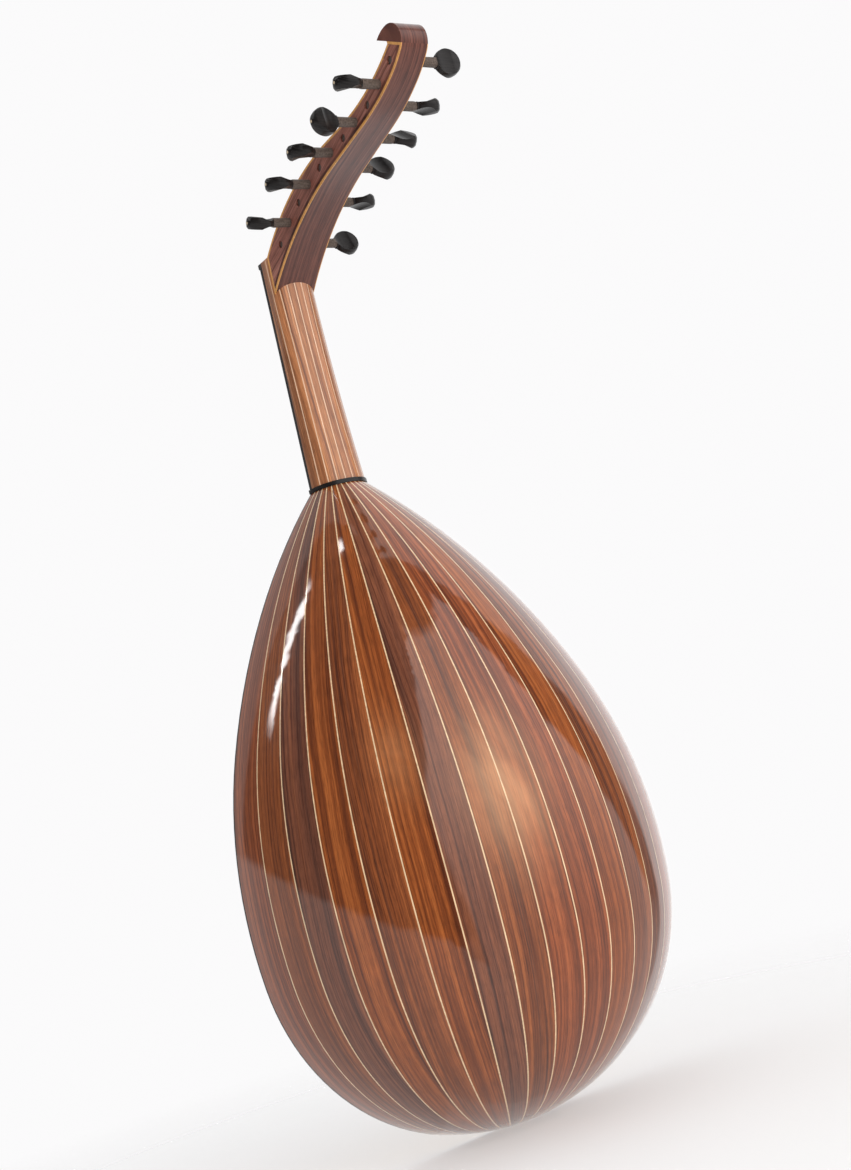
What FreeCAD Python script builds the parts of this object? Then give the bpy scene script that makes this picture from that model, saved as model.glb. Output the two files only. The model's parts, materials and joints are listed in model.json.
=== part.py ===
import FreeCAD, Part
import math
import os
import Sketcher
from FreeCAD import Placement, Rotation, Vector

# An oud: a short-necked lute with a bowl of glued ribs and a bent-back pegbox.
# Frame: millimetres, +Z along the neck towards the pegbox, -Y out of the soundboard,
# +Y into the bowl, +X across.  The origin is the tail end of the soundboard's underside,
# on the centre line.  The bowl's ribs share one section, turned about the Z axis.

SIZES = {
    # bowl outline, from the tail to the neck joint
    "body_length": (520, "tail to neck joint"),
    "tail_radius": (178, "outline arc at the tail"),
    "tail_sweep": (38, "degrees"),
    "lower_radius": (170, "outline arc round the widest part"),
    "lower_sweep": (46, "degrees"),
    "flank_radius": (370, "outline arc of the flank"),
    "flank_sweep": (27, "degrees"),
    "shoulder_radius": (559, "outline arc that runs up to the neck"),
    # ribs
    "rib_count": (19, "staves of the bowl"),
    "rib_angle": (9.25, "degrees of the bowl taken by an inner rib"),
    "rib_thickness": (2.8, "bent rib stock"),
    "rib_line": (1.0, "width of the light strip between ribs"),
    "tail_cap_radius": (9, "half-round cap over the rib tips"),
    "strip_width": (10, "paper strip glued inside each rib joint"),
    "strip_thickness": (0.4, "paper and glue"),
    "block_depth": (38, "neck block, along the neck"),
    "tail_block_depth": (16, "tail block, along the neck"),
    # soundboard
    "board_thickness": (1.8, "spruce soundboard"),
    "binding_width": (2.0, "dark edge strip round the soundboard"),
    "brace_width": (6, "soundboard brace, along the neck"),
    "brace_depth": (14, "soundboard brace, into the bowl"),
    "large_hole_radius": (46, "main sound hole"),
    "large_hole_station": (335, "main sound hole from the tail"),
    "small_hole_radius": (17, "side sound holes"),
    "small_hole_station": (238, "side sound holes from the tail"),
    "small_hole_spread": (62, "side sound hole from the centre line"),
    "rosette_thickness": (1.4, "pierced rosettes"),
    "guard_thickness": (0.8, "pick guard veneer"),
    # bridge
    "bridge_station": (130, "bridge from the tail"),
    "bridge_width": (118, "across the soundboard"),
    "bridge_length": (14, "along the strings"),
    "bridge_height": (9.5, "above the soundboard"),
    "string_height": (7.0, "strings above the soundboard at the bridge"),
    # neck
    "neck_length": (195, "joint to nut"),
    "neck_joint_half_width": (24.6, "at the bowl"),
    "neck_top_half_width": (18.3, "at the nut"),
    "neck_fall": (3.9, "nut end behind the soundboard plane"),
    "neck_joint_back": (22.6, "back of the neck at the joint"),
    "neck_middle_back": (21.2, "back of the neck half way"),
    "neck_top_back": (25.5, "back of the neck at the nut"),
    "neck_side_joint": (1.0, "flat side of the neck at the joint"),
    "neck_side_middle": (3.0, "flat side of the neck half way"),
    "neck_side_top": (11.0, "flat side of the neck at the nut"),
    "veneer_thickness": (1.0, "staves over the neck core"),
    "stripe_width": (0.9, "light lines between the staves"),
    "stripe_angle": (17, "degrees between the light lines"),
    "stripe_count": (8, "light lines on the neck"),
    "fingerboard_thickness": (3.5, "ebony fingerboard"),
    "nut_thickness": (4.0, "along the strings"),
    "nut_rise": (1.6, "above the fingerboard"),
    "ring_height": (3.4, "ebony ring at the neck joint"),
    "ring_radius": (25.8, "outside of the ring"),
    "tenon_length": (28, "dovetail into the neck block"),
    # pegbox side outline
    "heel_reach": (15.2, "foot of the pegbox, behind the soundboard plane"),
    "heel_height": (687, "foot of the pegbox, from the tail"),
    "mouth_reach": (17.9, "front corner of the pegbox"),
    "mouth_height": (718.6, "front corner of the pegbox, from the tail"),
    "pegbox_heading": (38, "degrees, where both edges start"),
    "back_bend_radius": (282, "back edge, first bend"),
    "back_bend_sweep": (27, "degrees"),
    "back_straight": (48, "back edge, straight"),
    "back_rise_radius": (190, "back edge, upward bend"),
    "back_rise_sweep": (14, "degrees"),
    "back_tip_radius": (90, "back edge, below the head"),
    "back_tip_sweep": (15, "degrees"),
    "head_radius": (13.5, "round of the head"),
    "head_start_sweep": (20, "degrees of that round below the head's chord"),
    "head_sweep": (120, "degrees of that round on the head"),
    "beak_radius": (24, "front of the head"),
    "beak_sweep": (35, "degrees"),
    "front_bend_radius": (210, "front edge, first bend"),
    "front_bend_sweep": (34, "degrees"),
    "front_straight": (24, "front edge, straight"),
    "front_rise_radius": (174, "front edge, upward bend"),
    "front_rise_sweep": (27, "degrees"),
    # pegbox construction
    "pegbox_foot_half_width": (19.0, "ten millimetres behind the soundboard"),
    "pegbox_head_half_width": (11.8, "at the far end"),
    "pegbox_plan_length": (245, "between those two stations"),
    "cheek_thickness": (4.5, "side walls"),
    "back_thickness": (4.5, "curved back plate"),
    "edge_width": (1.9, "light edge strip on the cheeks"),
    "edge_depth": (0.6, "light edge strip into the cheeks"),
    # pegs
    "first_peg_reach": (41, "peg nearest the nut, behind the soundboard plane"),
    "peg_pitch": (19, "from peg to peg"),
    "peg_radius": (3.6, "shaft where it enters the cheek on its head side"),
    "peg_taper": (0.02, "radius lost per millimetre"),
    "peg_clearance": (0.05, "between shaft and hole, on the radius"),
    "peg_recess": (1.5, "tip below the far cheek's outside"),
    "peg_stand": (16.7, "bare shaft outside the cheek"),
    "collar_radius": (5.2, "turned collar"),
    "collar_length": (3.8, "turned collar"),
    "thumb_radius": (10.8, "flat thumb piece"),
    "thumb_reach": (7.0, "from the collar to the middle of the thumb piece"),
    "thumb_half_thickness": (4.8, "thumb piece at its rim"),
    "waist_half_thickness": (2.3, "thumb piece at its waist"),
    "scoop_radius": (16, "hollow on each side of the thumb piece"),
    "scoop_shift": (6, "hollows towards the shaft from the middle of the thumb piece"),
    "button_radius": (1.9, "end button"),
}

DOC = FreeCAD.newDocument("oud")
SHEET = DOC.addObject("Spreadsheet::Sheet", "Sizes")
for row, (alias, (value, note)) in enumerate(SIZES.items(), start=1):
    SHEET.set(f"A{row}", alias)
    SHEET.set(f"B{row}", str(value))
    SHEET.setAlias(f"B{row}", alias)
    SHEET.set(f"C{row}", note)
DOC.recompute()

BEYOND = 900.0           # half the reach of a cutting block that must pass everything
XZ = Rotation(Vector(1, 0, 0), 90)
YZ = Rotation(Vector(1, 1, 1), 120)
PARTS = {}               # node name -> document object


def size(alias):
    """A driving dimension, read from the sheet."""
    return float(getattr(SHEET, alias))


def bind(thing, **cells):
    """Bind properties to sheet cells; a double underscore in a name stands for a dot."""
    for prop, cell in cells.items():
        thing.setExpression(prop.replace("__", "."), cell_formula(cell))
    return thing


def cell_formula(text):
    """Turn sheet aliases inside a formula into references to the sheet."""
    words = []
    word = ""
    for letter in text + " ":
        if letter.isalnum() or letter == "_":
            word += letter
            continue
        words.append(f"Sizes.{word}" if word in SIZES else word)
        words.append(letter)
        word = ""
    return "".join(words).strip()


def node(name, thing):
    """Name a finished sub-part; the label becomes its file name."""
    thing.Label = name
    PARTS[name] = thing
    return thing


def add(kind, name, **values):
    thing = DOC.addObject(kind, name)
    for prop, value in values.items():
        setattr(thing, prop, value)
    return thing


def cut(name, base, tool):
    return add("Part::Cut", name, Base=base, Tool=tool)


def common(name, base, tool):
    return add("Part::Common", name, Base=base, Tool=tool)


def fuse(name, things):
    return add("Part::MultiFuse", name, Shapes=things)


def compound(name, things):
    return add("Part::Compound", name, Links=things)


def block(name, low, high):
    """A plain box between two corners."""
    span = [top - bottom for bottom, top in zip(low, high)]
    return add("Part::Box", name, Length=span[0], Width=span[1], Height=span[2],
               Placement=Placement(Vector(*low), Rotation()))


# ---------------------------------------------------------------- tangent outlines

class Arc:
    def __init__(self, radius, sweep, side=1):
        self.radius, self.sweep, self.side = radius, sweep, side


class Straight:
    def __init__(self, length):
        self.length = length


def walk(start, heading, pieces, inset=0.0, stop=None):
    """Follow a tangent chain.  A positive inset shifts it to the left of travel, side +1
    turns left, and stop ends the last arc at that height.  Returns its segments."""
    h = math.radians(heading)
    here = Vector(start[0] - inset * math.sin(h), start[1] + inset * math.cos(h), 0)
    segments = []
    for piece in pieces:
        if isinstance(piece, Straight):
            there = here + Vector(math.cos(h), math.sin(h), 0) * size(piece.length)
            segments.append((piece, here, there, None, 0.0, h, h))
            here = there
            continue
        radius = size(piece.radius) - inset * piece.side
        left = Vector(-math.sin(h), math.cos(h), 0) * piece.side
        centre = here + left * radius
        if piece.sweep is None:
            turned = math.acos((centre.y - stop) / radius) - h
        else:
            turned = math.radians(size(piece.sweep)) * piece.side
        h2 = h + turned
        there = centre - Vector(-math.sin(h2), math.cos(h2), 0) * piece.side * radius
        segments.append((piece, here, there, centre, radius, h, h2))
        here, h = there, h2
    return segments


def draw_chain(sketch, segments, inset=""):
    """Draw a chain with its radii, sweeps and lengths bound to the sheet."""
    ends = []
    for piece, here, there, centre, radius, h1, h2 in segments:
        if centre is None:
            geo = sketch.addGeometry(Part.LineSegment(here, there))
            number = sketch.addConstraint(Sketcher.Constraint("Distance", geo, here.distanceToPoint(there)))
            sketch.setExpression(f"Constraints[{number}]", cell_formula(piece.length))
            ends.append((geo, 1, 2))
            continue
        quarter = math.pi / 2 * piece.side
        first, last = h1 - quarter, h2 - quarter
        if piece.side < 0:
            first, last = last, first
        circle = Part.Circle(centre, Vector(0, 0, 1), radius)
        geo = sketch.addGeometry(Part.ArcOfCircle(circle, first, last))
        number = sketch.addConstraint(Sketcher.Constraint("Radius", geo, radius))
        formula = piece.radius + (f" {'-' if piece.side > 0 else '+'} {inset}" if inset else "")
        sketch.setExpression(f"Constraints[{number}]", cell_formula(formula))
        if piece.sweep is not None:
            number = sketch.addConstraint(Sketcher.Constraint("Angle", geo, last - first))
            sketch.setExpression(f"Constraints[{number}]", cell_formula(piece.sweep))
        ends.append((geo, 1, 2) if piece.side > 0 else (geo, 2, 1))
    for (geo1, _, end1), (geo2, start2, _) in zip(ends, ends[1:]):
        sketch.addConstraint(Sketcher.Constraint("Tangent", geo1, end1, geo2, start2))
    return ends


def pin_point(sketch, geo, end, point):
    """Hold a point of a sketch where it was drawn."""
    sketch.addConstraint(Sketcher.Constraint("DistanceX", geo, end, point.x))
    sketch.addConstraint(Sketcher.Constraint("DistanceY", geo, end, point.y))


def draw_line(sketch, from_end, to_end, points):
    """Join two drawn ends with a straight run through the given points."""
    before = from_end
    for here, there in zip(points, points[1:]):
        geo = sketch.addGeometry(Part.LineSegment(here, there))
        sketch.addConstraint(Sketcher.Constraint("Coincident", before[0], before[1], geo, 1))
        before = (geo, 2)
    sketch.addConstraint(Sketcher.Constraint("Coincident", before[0], before[1], to_end[0], to_end[1]))


def draw_polygon(sketch, points):
    """A closed straight-sided outline."""
    flat = [Vector(x, y, 0) for x, y in points]
    edges = [sketch.addGeometry(Part.LineSegment(p, q)) for p, q in zip(flat, flat[1:] + flat[:1])]
    for geo, after in zip(edges, edges[1:] + edges[:1]):
        sketch.addConstraint(Sketcher.Constraint("Coincident", geo, 2, after, 1))


def free_sketch(name, rotation, shift=Vector()):
    return add("Sketcher::SketchObject", name, Placement=Placement(shift, rotation))


def body_sketch(body, name, role, offset=Placement()):
    """A sketch on one of a body's own origin planes."""
    sketch = body.newObject("Sketcher::SketchObject", name)
    plane = [item for item in body.Origin.OriginFeatures if item.Role == role][0]
    sketch.AttachmentSupport = [(plane, "")]
    sketch.MapMode = "FlatFace"
    sketch.AttachmentOffset = offset
    return sketch


# ---------------------------------------------------------------- bowl

OUTLINE = [Arc("tail_radius", "tail_sweep"), Arc("lower_radius", "lower_sweep"),
           Arc("flank_radius", "flank_sweep"), Arc("shoulder_radius", None)]


def outline_walk(inset=0.0):
    """Half of the body outline: x is the half width, y the height from the tail."""
    return walk((0, 0), 0, OUTLINE, inset, stop=size("body_length"))


def draw_half_outline(sketch, inset=0.0, inset_cell=""):
    """Half of the body outline, closed along the centre line."""
    segments = outline_walk(inset)
    ends = draw_chain(sketch, segments, inset_cell)
    pin_point(sketch, ends[0][0], ends[0][1], segments[0][1])
    sketch.addConstraint(Sketcher.Constraint("PointOnObject", ends[0][0], 3, -2))
    tip = segments[-1][2]
    corners = [tip, Vector(0, tip.y, 0), segments[0][1]]
    draw_line(sketch, (ends[-1][0], ends[-1][2]), (ends[0][0], ends[0][1]), corners)
    last = ends[-1]
    number = sketch.addConstraint(Sketcher.Constraint("DistanceY", last[0], last[2], tip.y))
    sketch.setExpression(f"Constraints[{number}]", cell_formula("body_length"))


def bowl_solid(name, inset=0.0, inset_cell=""):
    """The bowl as a solid half turn of its outline, shrunk by the inset."""
    sketch = free_sketch(f"{name}_section", XZ)
    draw_half_outline(sketch, inset, inset_cell)
    return add("Part::Revolution", name, Source=sketch, Axis=Vector(0, 0, 1), Base=Vector(0, 0, 0),
               Angle=180.0, Solid=True)


def rib_joints():
    """The angles of the joints between ribs, from the +X edge round the back."""
    inner = size("rib_count") - 2
    first = (180 - inner * size("rib_angle")) / 2
    return [first + i * size("rib_angle") for i in range(int(inner) + 1)]


def radial_slab(name, angle, width_cell, start, stop, low, high):
    """A thin upright slab that runs out from the Z axis at one angle."""
    width = size(width_cell)
    turn = Rotation(Vector(0, 0, 1), angle)
    slab = add("Part::Box", name, Length=stop - start, Width=width, Height=high - low)
    slab.Placement = Placement(turn.multVec(Vector(start, -width / 2, low)), turn)
    return bind(slab, Width=width_cell)


def make_bowl():
    """Nineteen ribs, the light lines between them, the tail cap and what is glued inside."""
    outside = bowl_solid("bowl_outside")
    inside = bowl_solid("bowl_inside", size("rib_thickness"), "rib_thickness")
    shell = cut("bowl_shell", outside, inside)
    below = Placement(Vector(0, 0, -5), Rotation())
    cap_cutter = add("Part::Cylinder", "cap_cutter", Height=30, Placement=below)
    bind(cap_cutter, Radius="tail_cap_radius")
    node("tail_cap", common("tail_cap", shell, cap_cutter))
    staves = cut("bowl_staves", shell, cap_cutter)

    lines = compound("rib_line_slabs", [
        radial_slab(f"rib_line_slab_{i}", angle, "rib_line", 7, 220, -5, size("body_length") + 5)
        for i, angle in enumerate(rib_joints())])
    node("rib_lines", common("rib_lines", staves, lines))
    wood = cut("bowl_wood", staves, lines)
    joints = [0.0] + rib_joints() + [180.0]
    for i, (low, high) in enumerate(zip(joints, joints[1:])):
        sector = add("Part::Cylinder", f"rib_sector_{i}", Radius=260, Height=size("body_length") + 20,
                     Angle=high - low, Placement=Placement(Vector(0, 0, -10), Rotation(Vector(0, 0, 1), low)))
        node(rib_name(i), common(rib_name(i), wood, sector))
    return inside


def rib_name(i):
    """Ribs are named from the centre out, on the +X and -X sides."""
    middle = int(size("rib_count")) // 2
    if i == middle:
        return "rib_centre"
    side = "left" if i < middle else "right"
    place = abs(i - middle)
    return f"rib_{side}_edge" if place == middle else f"rib_{side}_{place}"


def make_inside(inside):
    """Neck block with its dovetail slot, tail block, joint strips and soundboard braces."""
    top = size("body_length")
    head_room = block("neck_block_space", (-60, 0, top - size("block_depth")), (60, 60, top))
    bind(head_room, Height="block_depth", Placement__Base__z="body_length - block_depth")
    solid = common("neck_block_solid", inside, head_room)
    node("neck_block", cut("neck_block", solid, dovetail("dovetail_slot")))

    tail_room = block("tail_block_space", (-60, 0, 0), (60, 60, size("tail_block_depth")))
    bind(tail_room, Height="tail_block_depth")
    node("tail_block", common("tail_block", inside, tail_room))

    depth = size("rib_thickness") + size("strip_thickness")
    deeper = bowl_solid("bowl_strip_inside", depth, "(rib_thickness + strip_thickness)")
    skin = cut("bowl_strip_skin", inside, deeper)
    strips = compound("strip_slabs", [
        radial_slab(f"strip_slab_{i}", angle, "strip_width", 40, 220, 34, 440)
        for i, angle in enumerate(rib_joints())])
    paper = common("joint_strip_skin", skin, strips)
    node("joint_strips", cut("joint_strips", paper, brace_room("brace_gaps", 1.0)))
    node("soundboard_braces", common("soundboard_braces", inside, brace_room("brace_stock", 0.0)))


BRACE_STATIONS = (52, 92, 172, 205, 272, 398, 440)


def brace_room(name, gap):
    """The straight bars that the braces are cut from, with a gap all round."""
    half = size("brace_width") / 2 + gap
    bars = [block(f"{name}_{z}", (-200, 0, z - half), (200, size("brace_depth") + gap, z + half))
            for z in BRACE_STATIONS]
    return compound(name, bars)


def dovetail(name):
    """The tapered tenon that locks the neck into its block, wider at its inner end."""
    wedge = add("Part::Wedge", name, Xmin=-9, Xmax=9, Ymin=0, Ymax=size("tenon_length"), Zmin=4, Zmax=17,
                X2min=-12, X2max=12, Z2min=4, Z2max=17,
                Placement=Placement(Vector(0, 0, size("body_length")), Rotation(Vector(1, 0, 0), -90)))
    return bind(wedge, Ymax="tenon_length", Placement__Base__z="body_length")


# ---------------------------------------------------------------- soundboard

def board_blank(name, inset=0.0, inset_cell=""):
    """A plate of soundboard thickness with the body outline, both halves."""
    body = DOC.addObject("PartDesign::Body", name)
    sketch = body_sketch(body, f"{name}_half", "XZ_Plane")
    draw_half_outline(sketch, inset, inset_cell)
    pad = body.newObject("PartDesign::Pad", f"{name}_pad")
    pad.Profile = sketch
    bind(pad, Length="board_thickness")
    mirror = body.newObject("PartDesign::Mirrored", f"{name}_mirror")
    mirror.Originals = [pad]
    mirror.MirrorPlane = (sketch, ["V_Axis"])
    body.Tip = mirror
    DOC.recompute()
    if body.Shape.BoundBox.YMin > -0.1:
        pad.Reversed = True
    return body


def y_cylinder(name, x, z, radius_cell, low, high):
    """A round plug along Y."""
    plug = add("Part::Cylinder", name, Height=high - low,
               Placement=Placement(Vector(x, low, z), Rotation(Vector(1, 0, 0), -90)))
    return bind(plug, Radius=radius_cell)


def hole_plugs(prefix, low, high):
    """Plugs for the three sound holes: the large one, then the small pair."""
    spread, station = size("small_hole_spread"), size("small_hole_station")
    large = y_cylinder(f"{prefix}_large", 0, size("large_hole_station"), "large_hole_radius", low, high)
    small = [y_cylinder(f"{prefix}_small_{i}", x, station, "small_hole_radius", low, high)
             for i, x in enumerate((-spread, spread))]
    return large, small


def make_soundboard():
    """Soundboard with three sound holes, its edge binding, rosettes and pick guard."""
    thickness = size("board_thickness")
    full = board_blank("board_full")
    inner = board_blank("board_inner", size("binding_width"), "binding_width")
    node("edge_binding", cut("edge_binding", full, inner))
    large, small = hole_plugs("sound_hole", -thickness - 1, 1)
    node("soundboard", cut("soundboard", inner, compound("sound_holes", [large] + small)))

    face = -thickness + 0.2
    large, small = hole_plugs("rosette_blank", face, face + size("rosette_thickness"))
    node("rosette_large", cut("rosette_large", large, pierced("large_lattice", 0, size("large_hole_station"),
                                                               size("large_hole_radius"), (6, 12, 18, 24))))
    for name, blank in zip(("rosette_right", "rosette_left"), small):
        centre = blank.Placement.Base
        lattice = pierced(f"{name}_lattice", centre.x, centre.z, size("small_hole_radius"), (6, 12))
        node(name, cut(name, blank, lattice))
    node("pick_guard", pick_guard())


def pierced(name, x, z, radius, rings):
    """Round openings of a rosette: a centre one and rings of them, filling the disc."""
    pitch = radius / (len(rings) + 0.9)
    openings = [(0.0, 0.0, pitch * 0.38)]
    for ring, count in enumerate(rings, start=1):
        reach = pitch * ring
        room = min(pitch, 2 * math.pi * reach / count) * 0.40
        for i in range(count):
            turn = 2 * math.pi * (i + 0.5 * (ring % 2)) / count
            openings.append((reach * math.cos(turn), reach * math.sin(turn), room))
    cutters = []
    for i, (dx, dz, hole) in enumerate(openings):
        cutters.append(add("Part::Cylinder", f"{name}_{i}", Radius=hole, Height=20,
                           Placement=Placement(Vector(x + dx, -10, z + dz), Rotation(Vector(1, 0, 0), -90))))
    return compound(name, cutters)


def pick_guard():
    """A thin shield of dark veneer between the bridge and the main sound hole."""
    sketch = free_sketch("pick_guard_outline", XZ, Vector(0, -size("board_thickness"), 0))
    low = size("bridge_station") + 12
    high = size("large_hole_station") - size("large_hole_radius") - 6
    draw_polygon(sketch, [(-30, low), (30, low), (38, low + 22), (40, high - 62), (24, high - 20), (0, high),
                          (-24, high - 20), (-40, high - 62), (-38, low + 22)])
    guard = add("Part::Extrusion", "pick_guard", Base=sketch, DirMode="Normal", Solid=True)
    return bind(guard, LengthFwd="guard_thickness")


# ---------------------------------------------------------------- neck

def neck_share(z):
    return (z - size("body_length")) / size("neck_length")


def neck_front(z):
    """The fingerboard's front face at a height."""
    return -size("board_thickness") + size("neck_fall") * neck_share(z)


def neck_half_width(z):
    joint, top = size("neck_joint_half_width"), size("neck_top_half_width")
    return joint + neck_share(z) * (top - joint)


def neck_section(z, flat, back, skin):
    """A closed D: flat front under the fingerboard, short straight sides, elliptical back."""
    half = neck_half_width(z) - skin
    front = neck_front(z) + size("fingerboard_thickness")
    depth = back - skin - front - flat
    arc = Part.makeCircle(1, Vector(), Vector(0, 0, 1), 0, 180)
    squash = FreeCAD.Matrix()
    squash.scale(half, depth, 1)
    arc = arc.transformGeometry(squash)
    arc.translate(Vector(0, front + flat, z))
    corners = [Vector(-half, front + flat, z), Vector(-half, front, z), Vector(half, front, z),
               Vector(half, front + flat, z)]
    return Part.Wire([arc] + [Part.makeLine(p, q) for p, q in zip(corners, corners[1:])])


def neck_loft(name, skin=0.0):
    """The neck's body behind the fingerboard and the nut."""
    low = size("body_length")
    length = size("neck_length") + size("nut_thickness")
    stations = ((low, "joint"), (low + length / 2, "middle"), (low + length, "top"))
    wires = [neck_section(z, size(f"neck_side_{place}"), size(f"neck_{place}_back"), skin)
             for z, place in stations]
    loft = add("Part::Feature", name)
    loft.Shape = Part.makeLoft(wires, True, False)
    loft.Placement = Placement()
    return loft


def make_neck(pegbox):
    """Core with its dovetail, veneer staves, light lines, fingerboard, nut and ring."""
    seat = fuse("neck_seat_all", [neck_seat(), pegbox])
    blank = neck_loft("neck_outside")
    core = neck_loft("neck_core", size("veneer_thickness"))
    trimmed = cut("neck_core_trimmed", core, seat)
    node("neck", fuse("neck", [trimmed, dovetail("dovetail_tenon")]))

    shell = cut("neck_shell", cut("neck_skin", blank, core), seat)
    count, step = int(size("stripe_count")), size("stripe_angle")
    first = 90 - step * (count - 1) / 2
    slabs = [neck_slab(f"neck_stripe_slab_{i}", first + i * step) for i in range(count)]
    stripes = compound("neck_stripe_slabs", slabs)
    node("neck_staves", cut("neck_staves", shell, stripes))
    node("neck_lines", common("neck_lines", shell, stripes))

    board = node("fingerboard", fingerboard())
    node("nut", nut())
    node("neck_ring", neck_ring(blank, board))


def neck_slab(name, angle):
    """A thin slab that fans out from the neck's front centre line."""
    width = size("stripe_width")
    tilt = Rotation(Vector(1, 0, 0), -math.degrees(math.atan2(size("neck_fall"), size("neck_length"))))
    turn = tilt.multiply(Rotation(Vector(0, 0, 1), angle))
    joint = Vector(0, -size("board_thickness"), size("body_length"))
    corner = joint + turn.multVec(Vector(8, -width / 2, -2))
    slab = add("Part::Box", name, Length=40, Width=width, Height=size("neck_length") + 10,
               Placement=Placement(corner, turn))
    return bind(slab, Width="stripe_width")


def sheared_plate(name, low, high, rise, thickness):
    """A plate that narrows and falls back with the neck between two heights."""
    plate = add("Part::Wedge", name, Ymin=0, Ymax=high - low,
                Placement=Placement(Vector(0, 0, low), Rotation(Vector(1, 0, 0), 90)))
    half_low, half_high = neck_half_width(low), neck_half_width(high)
    top_low, top_high = rise - neck_front(low), rise - neck_front(high)
    plate.Xmin, plate.Xmax = -half_low, half_low
    plate.X2min, plate.X2max = -half_high, half_high
    plate.Zmin, plate.Zmax = top_low - thickness, top_low
    plate.Z2min, plate.Z2max = top_high - thickness, top_high
    return plate


def fingerboard():
    """The ebony plate on the neck, flush with the soundboard."""
    low = size("body_length")
    return sheared_plate("fingerboard", low, low + size("neck_length"), 0.0, size("fingerboard_thickness"))


def nut():
    """The string rest at the neck's end, with one shallow slot for each string."""
    low = size("body_length") + size("neck_length")
    high = low + size("nut_thickness")
    rise = size("nut_rise")
    blank = sheared_plate("nut_blank", low, high, rise, size("fingerboard_thickness") + rise)
    slots = []
    for i, x in enumerate(NUT_STATIONS):
        depth = string_radius(i) * 1.1
        front = neck_front(low) - rise
        slots.append(add("Part::Cylinder", f"nut_slot_{i}", Radius=depth, Height=40,
                         Placement=Placement(Vector(x, front, low - 20), Rotation())))
    return cut("nut", blank, compound("nut_slots", slots))


def neck_ring(neck_blank, board):
    """The ebony ring that covers the rib ends at the neck joint."""
    low = size("body_length")
    drum = add("Part::Cylinder", "ring_drum", Radius=size("ring_radius"), Height=size("ring_height"),
               Angle=180, Placement=Placement(Vector(0, 0, low), Rotation()))
    bind(drum, Radius="ring_radius", Height="ring_height", Placement__Base__z="body_length")
    reach = size("ring_radius")
    lip = block("ring_lip", (-reach, -size("board_thickness"), low), (reach, 0, low + size("ring_height")))
    bind(lip, Height="ring_height")
    room = fuse("ring_room", [neck_blank, board])
    return cut("neck_ring", fuse("ring_blank", [drum, lip]), room)


# ---------------------------------------------------------------- pegbox

BACK_EDGE = [Arc("back_bend_radius", "back_bend_sweep", -1), Straight("back_straight"),
             Arc("back_rise_radius", "back_rise_sweep"), Arc("back_tip_radius", "back_tip_sweep"),
             Arc("head_radius", "head_start_sweep")]
HEAD_EDGE = [Arc("head_radius", "head_sweep"), Arc("beak_radius", "beak_sweep")]
FRONT_EDGE = [Arc("front_bend_radius", "front_bend_sweep", -1), Straight("front_straight"),
              Arc("front_rise_radius", "front_rise_sweep")]


def back_walk(inset=0.0):
    """The pegbox's back edge in its side view: x is the reach behind the soundboard, y the height."""
    return walk((size("heel_reach"), size("heel_height")), size("pegbox_heading"), BACK_EDGE, inset)


def front_walk(inset=0.0):
    return walk((size("mouth_reach"), size("mouth_height")), size("pegbox_heading"), FRONT_EDGE, inset)


def head_walk():
    last = back_walk()[-1]
    return walk((last[2].x, last[2].y), math.degrees(last[6]), HEAD_EDGE)


def height_on(segments, reach):
    """The height of an edge at one reach."""
    for _, here, there, centre, radius, h1, h2 in segments:
        if not here.x <= reach <= there.x:
            continue
        if centre is None:
            return here.y + (there.y - here.y) * (reach - here.x) / (there.x - here.x)
        rise = math.sqrt(radius ** 2 - (reach - centre.x) ** 2)
        return centre.y + math.copysign(rise, h1 - h2)
    raise ValueError(f"no edge at reach {reach}")


def hold_chain(sketch, ends, segments):
    """Hold a chain by its start and, for its direction, the reach of its first centre."""
    pin_point(sketch, ends[0][0], ends[0][1], segments[0][1])
    sketch.addConstraint(Sketcher.Constraint("DistanceX", ends[0][0], 3, segments[0][3].x))


def side_extrusion(name, sketch):
    """Extrude a side view both ways across the pegbox."""
    return add("Part::Extrusion", name, Base=sketch, DirMode="Normal", LengthFwd=60,
               Symmetric=True, Solid=True)


def chord_under_head():
    """The straight seam between the cheeks and the head, from the back edge to the front edge."""
    corner, beak, top = back_walk()[-1][2], head_walk()[-1][2], front_walk()[-1][2]
    slope = (corner.y - beak.y) / (corner.x - beak.x)
    return corner, Vector(top.x, beak.y + slope * (top.x - beak.x), 0)


def cheek_outline():
    """The side view of a cheek: back edge, chord under the head, front edge and foot."""
    sketch = free_sketch("cheek_outline", YZ)
    back, front = back_walk(), front_walk()
    back_ends = draw_chain(sketch, back)
    hold_chain(sketch, back_ends, back)
    front_ends = draw_chain(sketch, front)
    hold_chain(sketch, front_ends, front)
    corner, meeting = chord_under_head()
    draw_line(sketch, (back_ends[-1][0], back_ends[-1][2]), (front_ends[-1][0], front_ends[-1][2]),
              [corner, meeting, front[-1][2]])
    draw_line(sketch, (front_ends[0][0], front_ends[0][1]), (back_ends[0][0], back_ends[0][1]),
              [front[0][1], back[0][1]])
    return sketch


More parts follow.
